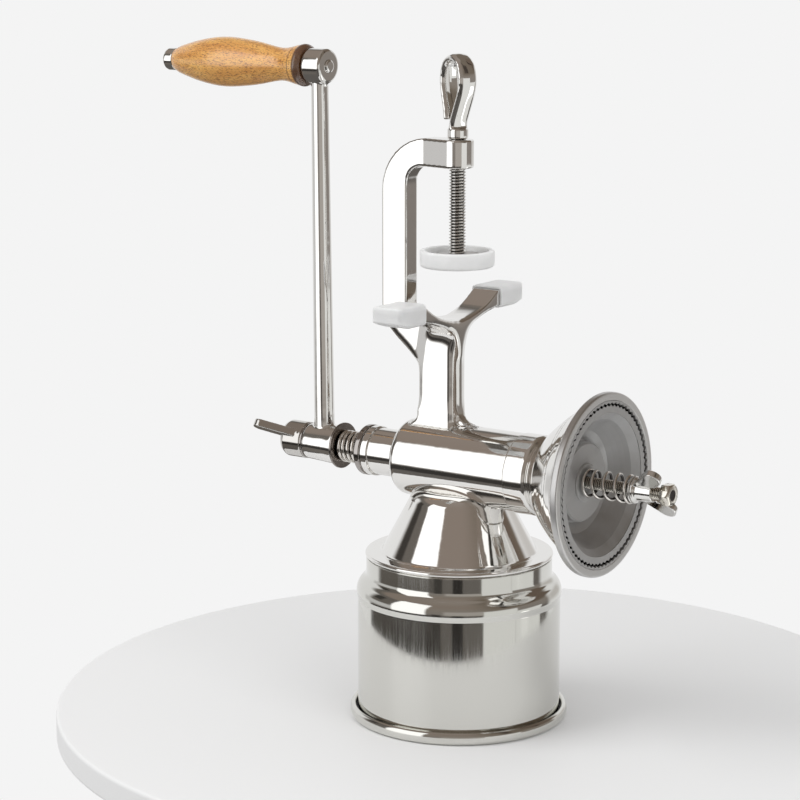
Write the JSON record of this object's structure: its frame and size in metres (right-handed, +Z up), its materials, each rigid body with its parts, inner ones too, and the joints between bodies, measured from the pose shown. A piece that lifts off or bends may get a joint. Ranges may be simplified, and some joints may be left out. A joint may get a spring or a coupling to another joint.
{
  "type": "hand crank grain mill",
  "caption": "Polished steel hand crank grain mill standing on its round hopper, with a feed barrel, a flared grinding bell, a table clamp with screw and a wooden crank grip.",
  "frame": {"origin": "centre of the hopper mouth, on the surface that the rolled rim stands on", "axes": "+Z up, +X along the grinding shaft towards the bell, +Y completes a right-handed frame"},
  "size_m": [0.3068, 0.11, 0.3359],
  "materials": {
    "hopper_steel": "spun stainless sheet, satin wall with polished neck and rim",
    "polished_steel": "mirror polished stainless casting",
    "satin_steel": "satin grey stainless",
    "spring_steel": "bright dark spring wire",
    "silicone": "translucent white silicone",
    "wood": "varnished honey coloured hardwood"
  },
  "bodies": {
    "hopper": {"hopper": "hopper_steel"},
    "housing": {"feed_funnel": "polished_steel", "barrel": "polished_steel", "grinding_bell": "polished_steel", "fixed_burr": "satin_steel", "clamp_frame": "polished_steel", "saddle_pad_front": "silicone", "saddle_pad_back": "silicone", "shaft_bush": "polished_steel"},
    "shaft": {"auger": "satin_steel", "thrust_collar": "polished_steel", "crank_spring": "spring_steel", "crank_washer": "polished_steel", "crank_arm": "polished_steel", "crank_stud": "satin_steel", "grip_pin": "polished_steel", "rotor_burr": "satin_steel", "burr_spring": "spring_steel", "adjust_bolt": "satin_steel"},
    "grip": {"grip": "wood"},
    "adjust_washer": {"spring_seat": "polished_steel"},
    "adjust_nut": {"adjust_wing_nut": "polished_steel"},
    "crank_nut_washer": {"crank_lock_washer": "polished_steel"},
    "crank_nut": {"crank_wing_nut": "polished_steel"},
    "clamp_pad": {"pad_disc": "satin_steel", "pad_cup": "silicone"},
    "clamp_screw": {"clamp_screw": "polished_steel", "clamp_loop": "polished_steel"}
  },
  "joints": [
    {"name": "hopper_lift", "type": "slide", "parent": "hopper", "child": "housing", "axis": [0, 0, 1], "range_m": [0, 0.008]},
    {"name": "crank_turn", "type": "hinge", "parent": "housing", "child": "shaft", "pos_m": [0, 0, 0.1295], "axis": [1, 0, 0], "continuous": true},
    {"name": "grip_spin", "type": "hinge", "parent": "shaft", "child": "grip", "pos_m": [-0.136, 0, 0.3231], "axis": [1, 0, 0], "continuous": true},
    {"name": "adjust_travel", "type": "slide", "parent": "shaft", "child": "adjust_washer", "axis": [1, 0, 0], "range_m": [-0.006, 0.0045], "deforming": ["burr_spring"]},
    {"name": "adjust_turn", "type": "hinge", "parent": "adjust_washer", "child": "adjust_nut", "pos_m": [0.105, 0, 0.1295], "axis": [1, 0, 0], "range_deg": [-2160, 1620]},
    {"name": "crank_nut_travel", "type": "slide", "parent": "shaft", "child": "crank_nut_washer", "axis": [-1, 0, 0], "range_m": [0, 0.006]},
    {"name": "crank_nut_turn", "type": "hinge", "parent": "crank_nut_washer", "child": "crank_nut", "pos_m": [-0.1, 0, 0.1295], "axis": [-1, 0, 0], "range_deg": [0, 2150]},
    {"name": "clamp_travel", "type": "slide", "parent": "housing", "child": "clamp_pad", "axis": [0, 0, 1], "range_m": [0, 0.036]},
    {"name": "clamp_turn", "type": "hinge", "parent": "clamp_pad", "child": "clamp_screw", "pos_m": [-0.002, 0, 0.25], "axis": [0, 0, 1], "range_deg": [0, 8640]}
  ],
  "couplings": [
    {"joint": "adjust_travel", "follows": "adjust_turn", "m_per_rad": 0.00015915},
    {"joint": "crank_nut_travel", "follows": "crank_nut_turn", "m_per_rad": 0.00015915},
    {"joint": "clamp_turn", "follows": "clamp_travel", "rad_per_m": 4188.8}
  ]
}
